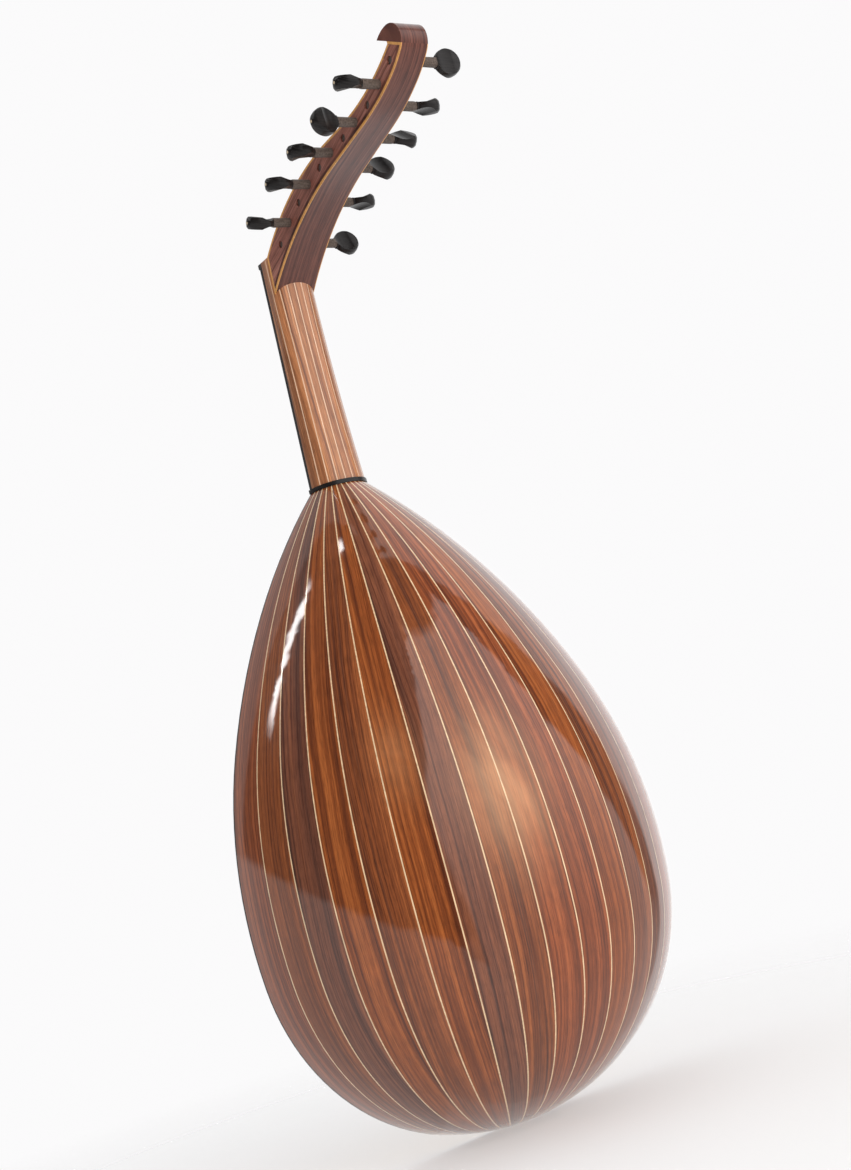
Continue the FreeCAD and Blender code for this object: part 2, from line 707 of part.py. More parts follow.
def edge_band(name, walker, cell, side=1):
    """A band between one edge of the pegbox and its parallel, on the left (+1) or right of travel."""
    sketch = free_sketch(f"{name}_outline", YZ)
    outer, inner = walker(), walker(side * size(cell))
    outer_ends = draw_chain(sketch, outer)
    hold_chain(sketch, outer_ends, outer)
    inner_ends = draw_chain(sketch, inner, cell if side > 0 else f"(-{cell})")
    hold_chain(sketch, inner_ends, inner)
    draw_line(sketch, (outer_ends[-1][0], outer_ends[-1][2]), (inner_ends[-1][0], inner_ends[-1][2]),
              [outer[-1][2], inner[-1][2]])
    draw_line(sketch, (outer_ends[0][0], outer_ends[0][1]), (inner_ends[0][0], inner_ends[0][1]),
              [outer[0][1], inner[0][1]])
    return side_extrusion(name, sketch)


def straight_band(name, start, end):
    """A band of edge width on the left of a straight run."""
    along = (end - start).normalize()
    inward = Vector(-along.y, along.x, 0) * size("edge_width")
    sketch = free_sketch(f"{name}_outline", YZ)
    corners = (start - along * 4, end + along * 4, end + along * 4 + inward, start - along * 4 + inward)
    draw_polygon(sketch, [(point.x, point.y) for point in corners])
    return side_extrusion(name, sketch)


def head_outline():
    """The side view of the head: its round, its beak and the chord that closes it."""
    sketch = free_sketch("head_outline", YZ)
    head = head_walk()
    ends = draw_chain(sketch, head)
    hold_chain(sketch, ends, head)
    draw_line(sketch, (ends[-1][0], ends[-1][2]), (ends[0][0], ends[0][1]), [head[-1][2], head[0][1]])
    return sketch


def pegbox_half_width(reach):
    share = (reach - 10) / size("pegbox_plan_length")
    foot, head = size("pegbox_foot_half_width"), size("pegbox_head_half_width")
    return foot + share * (head - foot)


def plan_block(name, inset=0.0):
    """The tapered plan of the pegbox, narrowed by an inset on both sides."""
    low, high = 0.0, 280.0
    wide, narrow = pegbox_half_width(low) - inset, pegbox_half_width(high) - inset
    sketch = free_sketch(f"{name}_plan", Rotation(), Vector(0, 0, size("heel_height") - 10))
    draw_polygon(sketch, [(-wide, low), (wide, low), (narrow, high), (-narrow, high)])
    return add("Part::Extrusion", name, Base=sketch, DirMode="Normal", LengthFwd=150, Solid=True)


def neck_seat():
    """The space above the pegbox's foot and back, which the neck is cut out of."""
    foot = (size("heel_reach"), size("heel_height"))
    mouth = (size("mouth_reach"), size("mouth_height"))
    lean = (mouth[0] - foot[0]) / (mouth[1] - foot[1])
    rise = 75 * math.tan(math.radians(size("pegbox_heading")))
    sketch = free_sketch("neck_seat_outline", YZ)
    draw_polygon(sketch, [foot, (foot[0] + 75, foot[1] + rise), (foot[0] + 75, foot[1] + rise + 60),
                          (foot[0] + 60 * lean, foot[1] + 60)])
    return side_extrusion("neck_seat", sketch)


def pegbox_blank():
    """The whole pegbox below its head, before it is divided: side outline and tapered plan."""
    return common("pegbox_full", side_extrusion("pegbox_side", cheek_outline()), plan_block("pegbox_plan"))


def make_pegbox(full):
    """Back plate, two cheeks, head block and the light strips along the cheeks' edges."""
    heel, mouth = back_walk()[0][1], front_walk()[0][1]
    edges = fuse("edge_bands", [edge_band("back_edge_band", back_walk, "edge_width"),
                                edge_band("front_edge_band", front_walk, "edge_width", -1),
                                straight_band("head_edge_band", *chord_under_head()),
                                straight_band("foot_edge_band", mouth, heel)])
    rims = common("pegbox_rims", full, edges)
    strips = cut("pegbox_strips", rims, plan_block("pegbox_strip_core", size("edge_depth")))
    node("pegbox_edging", strips)

    band = common("pegbox_band", full, edge_band("back_plate_side", back_walk, "back_thickness"))
    bores = peg_bores()
    plate = cut("back_plate_trimmed", band, strips)
    node("pegbox_back", cut("pegbox_back", plate, bores))

    inside = plan_block("pegbox_inside", size("cheek_thickness"))
    walls = cut("pegbox_walls", cut("pegbox_hollow", full, inside), band)
    bored = cut("pegbox_bored", cut("pegbox_trimmed", walls, strips), bores)
    left = block("left_half", (0, -10, 600), (BEYOND, 400, 900))
    right = block("right_half", (-BEYOND, -10, 600), (0, 400, 900))
    node("pegbox_cheek_left", common("pegbox_cheek_left", bored, left))
    node("pegbox_cheek_right", common("pegbox_cheek_right", bored, right))
    head = side_extrusion("head_side", head_outline())
    node("pegbox_head", common("pegbox_head", head, plan_block("head_plan")))


# ---------------------------------------------------------------- pegs

# The way each thumb piece is turned at rest, in degrees about the peg, from the nut up.
PEG_COUNT = 11
THUMB_TURNS = (20, 62, 78, 72, 28, 76, 48, 2, 74, 70, 0)
HOLLOWS = []             # each disc with the pocket that must take wood from it


def peg_station(i):
    """Reach and height of a peg's axis, half way between the pegbox's edges."""
    reach = size("first_peg_reach") + i * size("peg_pitch")
    height = (height_on(front_walk(), reach) + height_on(back_walk(), reach)) / 2
    return reach, height


def peg_side(i):
    """Pegs alternate; the one nearest the nut has its head on the -X side."""
    return -1 if i % 2 == 0 else 1


def peg_name(i):
    side = "left" if peg_side(i) > 0 else "right"
    return f"peg_{side}_{i // 2 + 1}"


def peg_radius_at(x, half_width):
    return size("peg_radius") + (x - half_width) * size("peg_taper")


def peg_bores():
    """Tapered holes through both cheeks, one pair for each peg."""
    bores = []
    for i in range(PEG_COUNT):
        reach, height = peg_station(i)
        half = pegbox_half_width(reach)
        low, high = -half - 5, half + 5
        bore = add("Part::Cone", f"peg_bore_{i}", Height=high - low,
                   Radius1=peg_radius_at(low, half) + size("peg_clearance"),
                   Radius2=peg_radius_at(high, half) + size("peg_clearance"))
        bore.Placement = Placement(Vector(peg_side(i) * low, reach, height),
                                   Rotation(Vector(0, 1, 0), 90 * peg_side(i)))
        bores.append(bore)
    return compound("peg_bores", bores)


def make_peg(i):
    """A turned peg: tapered shaft, ringed collar, scooped thumb piece and end button."""
    name = peg_name(i)
    reach, height = peg_station(i)
    half = pegbox_half_width(reach)
    tip = -half + size("peg_recess")
    collar = half + size("peg_stand")
    body = DOC.addObject("PartDesign::Body", name)
    turned_shaft(body, name, tip, collar, half)
    thumb_piece(body, name, collar + size("collar_length") + size("thumb_reach"))
    turn = Rotation(Vector(1, 0, 0), THUMB_TURNS[i])
    if peg_side(i) < 0:
        turn = turn.multiply(Rotation(Vector(0, 0, 1), 180))
    body.Placement = Placement(Vector(0, reach, height), turn)
    node(name, body)


def turned_shaft(body, name, tip, collar, half):
    """Shaft, collar with two grooves, and the button at the far end of the thumb piece."""
    rim, length = size("collar_radius"), size("collar_length")
    end = collar + length + size("thumb_reach") + size("thumb_radius")
    button = size("button_radius")
    profile = [(tip, 0), (tip, peg_radius_at(tip, half)), (collar, peg_radius_at(collar, half)),
               (collar, rim - 0.6), (collar + 1.0, rim - 0.3), (collar + 1.3, rim - 0.9),
               (collar + 1.7, rim - 0.9), (collar + 2.0, rim), (collar + 3.0, rim),
               (collar + 3.3, rim - 0.6), (collar + length, rim - 0.8), (collar + length + 5, 1.5),
               (end - 3, 1.5), (end - 3, button), (end + 0.5, button),
               (end + 0.9, button - 0.5), (end + 0.9, 0)]
    sketch = body_sketch(body, f"{name}_shaft_profile", "XY_Plane")
    draw_polygon(sketch, profile)
    shaft = body.newObject("PartDesign::Revolution", f"{name}_shaft")
    shaft.Profile = sketch
    shaft.ReferenceAxis = (sketch, ["H_Axis"])
    shaft.Angle = 360


def thumb_piece(body, name, centre):
    """A round disc with a soft rim, hollowed from both sides."""
    radius, thick, rim = size("thumb_radius"), size("thumb_half_thickness"), 1.6
    offset = Placement(Vector(centre, 0, 0), Rotation())
    sketch = body_sketch(body, f"{name}_disc_profile", "XY_Plane", offset)
    draw_polygon(sketch, [(0, -thick), (radius - rim, -thick), (radius - 0.4, -thick + rim), (radius, 0),
                          (radius - 0.4, thick - rim), (radius - rim, thick), (0, thick)])
    disc = body.newObject("PartDesign::Revolution", f"{name}_disc")
    disc.Profile = sketch
    disc.ReferenceAxis = (sketch, ["V_Axis"])
    disc.Angle = 360
    scoops = body_sketch(body, f"{name}_scoops", "XY_Plane", offset)
    lift = size("waist_half_thickness") + size("scoop_radius")
    for side in (-1, 1):
        middle = Vector(-size("scoop_shift"), side * lift, 0)
        circle = Part.Circle(middle, Vector(0, 0, 1), size("scoop_radius"))
        geo = scoops.addGeometry(circle)
        number = scoops.addConstraint(Sketcher.Constraint("Radius", geo, size("scoop_radius")))
        scoops.setExpression(f"Constraints[{number}]", cell_formula("scoop_radius"))
        pin_point(scoops, geo, 3, middle)
    hollow = body.newObject("PartDesign::Pocket", f"{name}_hollows")
    hollow.Profile = scoops
    hollow.Type = "ThroughAll"
    hollow.Midplane = True
    HOLLOWS.append((disc, hollow))


# ---------------------------------------------------------------- bridge and strings

# Where each string crosses the nut and where it meets its peg, from the -X side.
NUT_STATIONS = (-13.8, -9.4, -7.0, -4.0, -1.6, 1.4, 3.6, 6.4, 8.9, 11.3, 13.8)
PEG_STATIONS = (-11.2, -8.4, -5.9, -4.4, -2.4, -0.3, 1.7, 3.7, 5.9, 8.3, 11.1)
STRING_DIAMETERS = (1.1, 0.9, 0.9, 0.85, 0.85, 0.75, 0.75, 0.8, 0.8, 0.65, 0.65)
COURSES = {"string_bass": (0,), "strings_course_2": (1, 2), "strings_course_3": (3, 4),
           "strings_course_4": (5, 6), "strings_course_5": (7, 8), "strings_course_6": (9, 10)}
BRIDGE_SPREAD = 2.45     # string spacing at the bridge over that at the nut


def string_radius(i):
    return STRING_DIAMETERS[i] / 2


def string_peg(i):
    """Outer strings go to the pegs nearest the nut, on their own side of the pegbox."""
    left_strings = PEG_COUNT // 2
    return 2 * i if i <= left_strings else 2 * (PEG_COUNT - 1 - i) + 1


def taut_line(start, stops, finish):
    """The taut path from start to finish over the tops of the stops between them."""
    path = [start]
    for point in sorted(stops) + [finish]:
        while len(path) > 1 and bends_up(path[-2], path[-1], point):
            path.pop()
        path.append(point)
    return path


def bends_up(first, middle, last):
    before = (middle[1] - first[1]) / (middle[0] - first[0])
    after = (last[1] - middle[1]) / (last[0] - middle[0])
    return after >= before


def string_path(i):
    """Centre line of one string, from the bridge over the nut and nearer pegs to its own peg."""
    radius = string_radius(i)
    nut_low = size("body_length") + size("neck_length")
    nut_top = nut_low + size("nut_thickness")
    rest = neck_front(nut_low) - size("nut_rise") - 0.15
    bridge_z = size("bridge_station") + size("bridge_length") / 2 - 4
    nut_x = NUT_STATIONS[i]
    bridge_y = -size("board_thickness") - size("string_height")
    points = [Vector(nut_x * BRIDGE_SPREAD, bridge_y, bridge_z), Vector(nut_x, rest, nut_low),
              Vector(nut_x, rest, nut_top + radius + 0.1)]

    peg = string_peg(i)
    own = peg_station(peg)
    lift = size("peg_radius") + radius + 0.45
    stops = [(peg_station(k)[0], peg_station(k)[1] + lift) for k in range(peg)]
    finish = (own[0], own[1] + size("peg_radius") + radius + 0.1)
    start = (points[-1].y, points[-1].z)
    for reach, height in taut_line(start, stops, finish)[1:]:
        share = (reach - rest) / (own[0] - rest)
        across = nut_x + (PEG_STATIONS[i] - nut_x) * share
        points.append(Vector(across, reach, height))
    return points


def string_solid(i):
    """One string, swept along its path with mitred bends."""
    points = string_path(i)
    section = Part.Wire([Part.makeCircle(string_radius(i), points[0], points[1] - points[0])])
    thing = add("Part::Feature", f"string_{i + 1}")
    thing.Shape = Part.makePolygon(points).makePipeShell([section], True, False, 1)
    thing.Placement = Placement()
    return thing


def make_strings():
    """Six courses: a single bass string and five pairs."""
    for course, members in COURSES.items():
        strings = [string_solid(i) for i in members]
        node(course, strings[0] if len(strings) == 1 else compound(course, strings))


def make_bridge():
    """A low glued bridge with a sloped front, feathered ends and a hole for each string."""
    face = -size("board_thickness")
    half_length, height = size("bridge_length") / 2, size("bridge_height")
    station, half_width = size("bridge_station"), size("bridge_width") / 2
    sketch = free_sketch("bridge_profile", YZ)
    draw_polygon(sketch, [(face, station - half_length), (face, station + half_length),
                          (face - 3, station + half_length), (face - height, station + 2),
                          (face - height, station - 3), (face - 2, station - half_length)])
    bar = side_extrusion("bridge_bar", sketch)
    bind(bar, LengthFwd="bridge_width")
    ends = free_sketch("bridge_end_outline", Rotation(), Vector(0, 0, station - 20))
    draw_polygon(ends, [(-half_width, face), (half_width, face), (half_width, face - 2.5),
                        (half_width - 14, face - height), (14 - half_width, face - height),
                        (-half_width, face - 2.5)])
    plan = add("Part::Extrusion", "bridge_ends", Base=ends, DirMode="Normal", LengthFwd=40, Solid=True)
    blank = common("bridge_blank", bar, plan)
    holes = []
    for i, x in enumerate(NUT_STATIONS):
        points = string_path(i)
        along = points[1] - points[0]
        start = points[0] - along.normalize() * 20
        holes.append(add("Part::Cylinder", f"bridge_hole_{i}", Radius=string_radius(i) + 0.15, Height=60,
                         Placement=Placement(start, Rotation(Vector(0, 0, 1), along))))
    node("bridge", cut("bridge", blank, compound("bridge_holes", holes)))


# ---------------------------------------------------------------- build and write

def check():
    """Stop if any object failed, or a sub-part has no sound solid."""
    for thing in DOC.Objects:
        bad = [state for state in thing.State if state in ("Invalid", "Error")]
        if bad:
            raise RuntimeError(f"{thing.Name} failed: {bad}")
    for disc, hollow in HOLLOWS:
        if hollow.Shape.Volume > disc.Shape.Volume - 100:
            raise RuntimeError(f"{hollow.Name} cuts nothing")
    for name, thing in PARTS.items():
        shape = thing.Shape
        if shape.isNull() or not shape.isValid() or not shape.Solids:
            raise RuntimeError(f"{name} has no valid solid")


def write():
    os.makedirs("parts", exist_ok=True)
    for name, thing in PARTS.items():
        thing.Shape.exportStep(os.path.join("parts", f"{name}.step"))
        print(f"{name}: {len(thing.Shape.Solids)} solid(s), {thing.Shape.Volume / 1000:.2f} cm3")


inside_of_bowl = make_bowl()
make_inside(inside_of_bowl)
make_soundboard()
pegbox = pegbox_blank()
make_neck(pegbox)
make_pegbox(pegbox)
for peg in range(PEG_COUNT):
    make_peg(peg)
make_bridge()
make_strings()
DOC.recompute()
check()
write()
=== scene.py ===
import json
import math

import bpy
from mathutils import Matrix, Vector


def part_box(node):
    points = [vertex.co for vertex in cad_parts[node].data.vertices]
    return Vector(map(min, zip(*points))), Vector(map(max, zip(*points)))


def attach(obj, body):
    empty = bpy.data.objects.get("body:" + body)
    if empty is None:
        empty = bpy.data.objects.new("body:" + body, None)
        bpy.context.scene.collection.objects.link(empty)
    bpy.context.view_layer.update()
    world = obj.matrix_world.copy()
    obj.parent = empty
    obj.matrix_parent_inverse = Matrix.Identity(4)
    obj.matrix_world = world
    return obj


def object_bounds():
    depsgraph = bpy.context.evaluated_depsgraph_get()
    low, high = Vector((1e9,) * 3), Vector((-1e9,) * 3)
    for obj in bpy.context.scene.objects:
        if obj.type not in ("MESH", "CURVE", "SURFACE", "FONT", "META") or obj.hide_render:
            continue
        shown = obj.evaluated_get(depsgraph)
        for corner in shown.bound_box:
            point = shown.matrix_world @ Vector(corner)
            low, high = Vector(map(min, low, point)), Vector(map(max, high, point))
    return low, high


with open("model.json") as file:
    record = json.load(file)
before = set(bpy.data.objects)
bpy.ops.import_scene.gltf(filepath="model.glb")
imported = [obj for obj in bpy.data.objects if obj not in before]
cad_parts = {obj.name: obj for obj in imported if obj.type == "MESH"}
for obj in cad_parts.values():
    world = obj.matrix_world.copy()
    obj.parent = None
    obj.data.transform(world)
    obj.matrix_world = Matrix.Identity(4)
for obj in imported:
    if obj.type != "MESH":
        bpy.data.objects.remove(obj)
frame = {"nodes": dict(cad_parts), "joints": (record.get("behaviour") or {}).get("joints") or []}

# An oud seen from behind: lacquered walnut ribs, staved neck, dark pegbox, ebony pegs.
# Metres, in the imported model's frame: +Z along the neck, -Y out of the soundboard.

NODES = frame["nodes"]
JOINTS = {joint["child"]: joint for joint in frame["joints"]}
CAD_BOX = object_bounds()
MM = 0.001
RIB_COUNT = 19
RIB_ANGLE = 9.25
ROOT = "instrument"
PEG_RADIUS = 3.6 * MM
PEG_HEAD = 22.5 * MM     # collar, thumb piece and button
WIRE = 0.42 * MM         # radius of the added string


# ---------------------------------------------------------------- node materials

class Paint:
    """One node material, with short calls for the nodes that the finishes share."""

    def __init__(self, name):
        self.material = bpy.data.materials.new(name)
        self.material.use_nodes = True
        self.nodes = self.material.node_tree.nodes
        self.links = self.material.node_tree.links
        self.shader = self.nodes["Principled BSDF"]
        self.place = self.nodes.new("ShaderNodeTexCoord").outputs["Object"]

    def feed(self, socket, value):
        if isinstance(value, bpy.types.NodeSocket):
            self.links.new(value, socket)
        else:
            socket.default_value = value

    def math(self, operation, *values):
        node = self.nodes.new("ShaderNodeMath")
        node.operation = operation
        for socket, value in zip(node.inputs, values):
            self.feed(socket, value)
        return node.outputs[0]

    def dot(self, direction):
        """How far a point lies along a direction."""
        node = self.nodes.new("ShaderNodeVectorMath")
        node.operation = "DOT_PRODUCT"
        self.feed(node.inputs[0], self.place)
        self.feed(node.inputs[1], direction)
        return node.outputs["Value"]

    def join(self, x, y, z=0.0):
        node = self.nodes.new("ShaderNodeCombineXYZ")
        for socket, value in zip(node.inputs, (x, y, z)):
            self.feed(socket, value)
        return node.outputs[0]

    def vector(self, operation, *values):
        node = self.nodes.new("ShaderNodeVectorMath")
        node.operation = operation
        for socket, value in zip(node.inputs, values):
            self.feed(socket, value)
        return node.outputs["Value" if operation == "DOT_PRODUCT" else "Vector"]

    def noise(self, vector, scale=1.0, detail=3.0, roughness=0.5):
        node = self.nodes.new("ShaderNodeTexNoise")
        self.feed(node.inputs["Vector"], vector)
        node.inputs["Scale"].default_value = scale
        node.inputs["Detail"].default_value = detail
        node.inputs["Roughness"].default_value = roughness
        return node.outputs["Fac"]

    def ramp(self, value, *stops):
        node = self.nodes.new("ShaderNodeValToRGB")
        self.feed(node.inputs[0], value)
        elements = node.color_ramp.elements
        while len(elements) < len(stops):
            elements.new(0.5)
        for element, (position, colour) in zip(elements, stops):
            element.position = position
            element.color = (*colour, 1) if isinstance(colour, tuple) else (colour, colour, colour, 1)
        return node.outputs[0]

    def mix(self, share, first, second, blend="MIX"):
        node = self.nodes.new("ShaderNodeMix")
        node.data_type = "RGBA"
        node.blend_type = blend
        self.feed(node.inputs[0], share)
        for socket, value in ((node.inputs[6], first), (node.inputs[7], second)):
            self.feed(socket, (*value, 1) if isinstance(value, tuple) else value)
        return node.outputs[2]

    def bump(self, height, strength, depth):
        node = self.nodes.new("ShaderNodeBump")
        node.inputs["Strength"].default_value = strength
        node.inputs["Distance"].default_value = depth
        self.feed(node.inputs["Height"], height)
        return node.outputs[0]

    def set(self, **values):
        for name, value in values.items():
            socket = self.shader.inputs[name.replace("_", " ")]
            self.feed(socket, (*value, 1) if isinstance(value, tuple) else value)
        return self

    def gloss(self, roughness=0.05, weight=1.0):
        """Clear lacquer that flowed out almost flat."""
        ripple = self.noise(self.place, 45, 1)
        return self.set(Coat_Weight=weight, Coat_Roughness=roughness, Coat_IOR=1.52,
                        Coat_Normal=self.bump(ripple, 0.10, 0.8 * MM))


LINE_TINT = (0.44, 0.36, 0.36)


def streaks(paint, across, along, seed, scale, detail, roughness=0.5):
    """Noise drawn out along the grain; scale gives its fineness across the grain and along it."""
    wide, long = scale
    place = paint.join(paint.math("MULTIPLY", across, wide), paint.math("MULTIPLY", along, long), seed)
    return paint.noise(place, 1, detail, roughness)


def darken(paint, colour, amount, value, *stops):
    """Multiply a colour in part by a ramp over a value."""
    return paint.mix(amount, colour, paint.ramp(value, *stops), "MULTIPLY")


def grain(paint, across, along, tones, seed, band=260.0, fibre=1900.0, figure=0.12):
    """Straight-grained hardwood: broad bands, dark lines, fibres, short pores, faint cross figure."""
    dark, middle, light = tones
    wander = paint.noise(paint.join(paint.math("MULTIPLY", along, 5), seed), 1, 2)
    across = paint.math("ADD", across, paint.math("MULTIPLY", wander, 0.010))
    bands = streaks(paint, across, along, seed, (band, 1.6), 4, 0.62)
    colour = paint.ramp(bands, (0.34, dark), (0.50, middle), (0.68, light))
    lines = streaks(paint, across, along, seed + 9, (2.7 * band, 4), 2)
    colour = darken(paint, colour, 0.75, lines, (0.36, LINE_TINT), (0.50, 1.0))
    fibres = streaks(paint, across, along, seed, (fibre, 75), 3, 0.6)
    colour = darken(paint, colour, 0.70, fibres, (0.33, 0.42), (0.60, 1.0))
    pores = streaks(paint, across, along, seed + 3, (fibre * 1.5, 110), 2)
    colour = darken(paint, colour, 0.75, pores, (0.27, 0.28), (0.38, 1.0))
    cross = streaks(paint, across, along, seed, (55, 42), 2)
    colour = darken(paint, colour, figure, cross, (0.35, 0.35), (0.65, 1.0))
    return colour, fibres


def dress(name, paint):
    """Give a CAD node its material and let its curved faces shade smoothly."""
    node = NODES[name]
    node.data.materials.clear()
    node.data.materials.append(paint.material)
    smooth(node)


def smooth(thing):
    """Smooth shading, with edges sharper than 32 degrees kept crisp."""
    for polygon in thing.data.polygons:
        polygon.use_smooth = True
    weld = thing.modifiers.new("weld", "WELD")
    weld.merge_threshold = 0.01 * MM
    split = thing.modifiers.new("edges", "EDGE_SPLIT")
    split.split_angle = math.radians(32)


# ---------------------------------------------------------------- bowl

WALNUT = {
    "grey": ((0.085, 0.034, 0.024), (0.200, 0.066, 0.034), (0.310, 0.104, 0.046)),
    "warm": ((0.125, 0.029, 0.009), (0.300, 0.075, 0.016), (0.460, 0.132, 0.031)),
    "brown": ((0.105, 0.033, 0.017), (0.265, 0.072, 0.021), (0.415, 0.124, 0.035)),
    "red": ((0.115, 0.030, 0.013), (0.285, 0.070, 0.021), (0.440, 0.120, 0.037)),
}
# Rib tones from the +X edge round the back to the -X edge.
RIB_TONES = ("red", "brown", "grey", "warm", "brown", "warm", "grey", "brown", "red", "red", "warm",
             "brown", "grey", "red", "brown", "warm", "grey", "red", "brown")
# Painted sheen, the two lights it is painted for: direction on the camera's right, up and ahead,
# tightness and strength.
PAINTED_SHEEN_LIGHTS = (((0.57, 0.55, -0.60), 85, 0.62), ((-0.26, 0.60, -0.76), 200, 0.20))
PAINTED_SHEEN_COLOUR = (0.95, 0.52, 0.26)


def rib_names():
    """Ribs from the +X edge round the back to the -X edge."""
    left = ["rib_left_edge"] + [f"rib_left_{i}" for i in range(8, 0, -1)]
    right = [f"rib_right_{i}" for i in range(1, 9)] + ["rib_right_edge"]
    return left + ["rib_centre"] + right


def rib_middle(i):
    """The angle of a rib's centre line about the Z axis, in radians."""
    return math.radians(90 + (i - (RIB_COUNT - 1) / 2) * RIB_ANGLE)


def painted_sheen(paint, colour):
    """Painted sheen in the base colour: fibres are painted paler and warmer where they would mirror the
    window or the lamp.
    """
    geometry = paint.nodes.new("ShaderNodeNewGeometry").outputs
    for direction, tightness, strength in PAINTED_SHEEN_LIGHTS:
        between = paint.vector("ADD", geometry["Incoming"], from_camera(direction))
        half = paint.vector("NORMALIZE", between)
        facing = paint.vector("DOT_PRODUCT", half, geometry["Normal"])
        share = paint.math("POWER", paint.math("MAXIMUM", facing, 0), tightness)
        flecks = paint.noise(paint.join(paint.dot((90, 90, 0)), paint.dot((0, 0, 14))), 1, 3, 0.6)
        share = paint.math("MULTIPLY", paint.math("MULTIPLY", share, strength), flecks)
        # Mix in the painted highlight colour.
        colour = paint.mix(share, colour, PAINTED_SHEEN_COLOUR)
    return colour


def paint_ribs():
    for i, (name, tone) in enumerate(zip(rib_names(), RIB_TONES)):
        paint = Paint(f"walnut_{name}")
        angle = rib_middle(i)
        across = paint.dot((-math.sin(angle), math.cos(angle), 0))
        along = paint.dot((0, 0, 1))
        colour, fibre = grain(paint, across, along, WALNUT[tone], 7.0 * i)
        # Painted highlight: paler, warmer fibres where they would mirror the window or the lamp.
        colour = painted_sheen(paint, colour)
        paint.set(Base_Color=colour, Roughness=0.40, Specular_IOR_Level=0.12).gloss()
        dress(name, paint)


def pale_wood(name, colour, seed, gloss=1.0):
    paint = Paint(name)
    streak = paint.noise(paint.join(paint.dot((700, 700, 0)), paint.dot((0, 0, 30)), seed), 1, 3)
    dim = tuple(0.72 * part for part in colour)
    paint.set(Base_Color=paint.ramp(streak, (0.35, dim), (0.65, colour)), Roughness=0.40)
    return paint.gloss(0.06, gloss)


def dark_wood(name, tones, direction, gloss, rough=0.35, seed=1.0, bent=False):
    """Dark hardwood with its grain along one direction; on a bent plate it varies only across X."""
    paint = Paint(name)
    lengthwise = Vector(direction).normalized()
    sideways = Vector((1, 0, 0)) if abs(lengthwise.x) < 0.5 else Vector((0, 1, 0))
    slanting = lengthwise.cross(sideways) + sideways * 0.6
    across = paint.dot(sideways if bent else slanting)
    colour, fibres = grain(paint, across, paint.dot(lengthwise), tones, seed, 420, 1500, 0.05)
    normal = paint.bump(fibres, 0.25, 0.06 * MM)
    paint.set(Base_Color=colour, Roughness=rough, Specular_IOR_Level=0.25, Normal=normal)
    return paint.gloss(0.16, gloss)


# ---------------------------------------------------------------- neck

NECK_TONES = ((0.260, 0.085, 0.028), (0.500, 0.190, 0.070), (0.700, 0.300, 0.125))


def paint_neck():
    """Walnut staves between light lines; each stave has its own tone."""
    paint = Paint("neck_walnut")
    angle = paint.math("ARCTAN2", paint.dot((0, 1, 0)), paint.dot((1, 0, 0)))
    stave = paint.math("FLOOR", paint.math("DIVIDE", angle, math.radians(17)))
    across = paint.math("MULTIPLY", angle, 0.021)
    shifted = paint.math("ADD", across, paint.math("MULTIPLY", stave, 0.37))
    colour, fibre = grain(paint, shifted, paint.dot((0, 0, 1)), NECK_TONES, 4.0, 300, 1800, 0.05)
    tone = paint.nodes.new("ShaderNodeTexWhiteNoise")
    tone.noise_dimensions = "1D"
    paint.feed(tone.inputs["W"], stave)
    colour = paint.mix(0.5, colour, paint.ramp(tone.outputs[0], (0.0, 0.60), (1.0, 1.0)), "MULTIPLY")
    relief = paint.bump(fibre, 0.15, 0.04 * MM)
    paint.set(Base_Color=colour, Roughness=0.36, Normal=relief).gloss(0.14, 0.7)
    dress("neck_staves", paint)
    dress("neck_lines", pale_wood("neck_line_maple", (0.80, 0.53, 0.36), 2.0, 0.6))
    core = Paint("neck_core_wood")
    colour, fibre = grain(core, core.dot((1, 0.4, 0)), core.dot((0, 0, 1)),
                          ((0.20, 0.09, 0.05), (0.32, 0.16, 0.09), (0.42, 0.24, 0.14)), 9.0)
    dress("neck", core.set(Base_Color=colour, Roughness=0.6))


# ---------------------------------------------------------------- pegbox and ebony

ROSEWOOD = ((0.060, 0.016, 0.011), (0.140, 0.044, 0.030), (0.220, 0.080, 0.054))
CHEEK_TONES = ((0.150, 0.050, 0.034), (0.330, 0.120, 0.085), (0.450, 0.190, 0.140))
EBONY = ((0.009, 0.008, 0.008), (0.016, 0.014, 0.014), (0.024, 0.021, 0.020))


def paint_pegbox():
    lean = (0, math.cos(math.radians(22)), math.sin(math.radians(22)))
    for i, name in enumerate(("pegbox_back", "pegbox_head")):
        dress(name, dark_wood(f"rosewood_{name}", ROSEWOOD, lean, 0.5, 0.36, 5.0 * i, True))
    for i, name in enumerate(("pegbox_cheek_left", "pegbox_cheek_right")):
        dress(name, dark_wood(f"rosewood_{name}", CHEEK_TONES, lean, 0.35, 0.36, 10.0 + i))
    dress("pegbox_edging", pale_wood("edging_maple", (0.72, 0.34, 0.085), 6.0, 0.5))


def paint_ebony():
    for name, direction in (("fingerboard", (0, 0, 1)), ("neck_ring", (1, 0, 0)),
                            ("edge_binding", (0, 0, 1)), ("tail_cap", (1, 0, 0))):
        dress(name, dark_wood(f"ebony_{name}", EBONY, direction, 0.2, 0.36))


